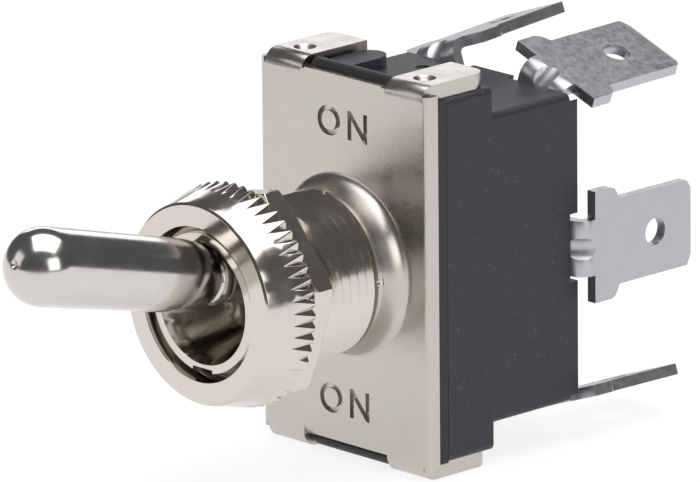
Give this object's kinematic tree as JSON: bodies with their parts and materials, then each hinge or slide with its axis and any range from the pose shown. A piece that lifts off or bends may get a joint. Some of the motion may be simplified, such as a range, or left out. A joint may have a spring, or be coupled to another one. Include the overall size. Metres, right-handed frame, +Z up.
{
  "type": "panel toggle switch",
  "caption": "Panel-mount toggle switch with a bat lever, threaded bushing with two nuts, a steel plate on a black case and quick-connect tabs.",
  "frame": {"origin": "on the bushing's axis where it crosses the front face of the mounting plate", "axes": "+X to the right seen from the front, +Y along the bushing's axis towards the terminals, +Z up; the lever points towards -Y"},
  "size_m": [0.0194, 0.0575, 0.0292],
  "materials": {
    "nickel_steel": "satin nickel plate on steel",
    "nickel_brass": "bright nickel plate on brass",
    "nickel_lever": "bright nickel plate",
    "pin_steel": "ground steel",
    "black_fibre": "matt",
    "black_phenolic": "moulded, fine grain",
    "brown_phenolic": "moulded",
    "brass": "turned",
    "spring_steel": "drawn wire",
    "copper_alloy": "rolled",
    "silver": "satin",
    "tinned_brass": "matt tin plate",
    "rivet_metal": "tin plate"
  },
  "bodies": {
    "housing": {"frame_plate": "nickel_steel", "threaded_bushing": "nickel_brass", "pivot_pin": "pin_steel", "insulator_cover": "black_fibre", "case": "black_phenolic", "cradle_left": "copper_alloy", "cradle_right": "copper_alloy", "terminal_right_top": "tinned_brass", "terminal_right_middle": "tinned_brass", "terminal_right_bottom": "tinned_brass", "terminal_left_top": "tinned_brass", "terminal_left_middle": "tinned_brass", "terminal_left_bottom": "tinned_brass", "rivet_right_top": "rivet_metal", "rivet_right_middle": "rivet_metal", "rivet_right_bottom": "rivet_metal", "rivet_left_top": "rivet_metal", "rivet_left_middle": "rivet_metal", "rivet_left_bottom": "rivet_metal"},
    "lever": {"bat_lever": "nickel_lever", "actuator_yoke": "brown_phenolic", "spring_left": "spring_steel", "spring_right": "spring_steel"},
    "plunger_left": {"plunger_left": "brass"},
    "plunger_right": {"plunger_right": "brass"},
    "rocker_left": {"rocker_left": "copper_alloy", "contact_left_top": "silver", "contact_left_bottom": "silver"},
    "rocker_right": {"rocker_right": "copper_alloy", "contact_right_top": "silver", "contact_right_bottom": "silver"},
    "hex_nut": {"hex_nut": "nickel_brass"},
    "knurled_nut": {"knurled_nut": "nickel_brass"}
  },
  "joints": [
    {"name": "lever_tilt", "type": "hinge", "parent": "housing", "child": "lever", "pos_m": [0, -0.0064, 0], "axis": [1, 0, 0], "range_deg": [0, 28.7]},
    {"name": "plunger_slide_left", "type": "slide", "parent": "lever", "child": "plunger_left", "axis": [0, -0.9688, 0.2478], "range_m": [0, 0.0006], "stiffness_N_per_m": 400, "springref_m": -0.001, "deforming": ["spring_left"]},
    {"name": "plunger_slide_right", "type": "slide", "parent": "lever", "child": "plunger_right", "axis": [0, -0.9688, 0.2478], "range_m": [0, 0.0006], "stiffness_N_per_m": 400, "springref_m": -0.001, "deforming": ["spring_right"]},
    {"name": "rocker_tilt_left", "type": "hinge", "parent": "housing", "child": "rocker_left", "pos_m": [-0.0037, 0.0105, 0], "axis": [1, 0, 0], "range_deg": [-12, 0]},
    {"name": "rocker_tilt_right", "type": "hinge", "parent": "housing", "child": "rocker_right", "pos_m": [0.0037, 0.0105, 0], "axis": [1, 0, 0], "range_deg": [-12, 0]},
    {"name": "hex_nut_turn", "type": "hinge", "parent": "housing", "child": "hex_nut", "pos_m": [0, -0.0095, 0], "axis": [0, 1, 0], "continuous": true},
    {"name": "knurled_nut_turn", "type": "hinge", "parent": "housing", "child": "knurled_nut", "pos_m": [0, -0.0124, 0], "axis": [0, 1, 0], "continuous": true}
  ],
  "couplings": [
    {"joint": "rocker_tilt_left", "follows": "lever_tilt", "ratio": -0.418},
    {"joint": "rocker_tilt_right", "follows": "lever_tilt", "ratio": -0.418}
  ]
}
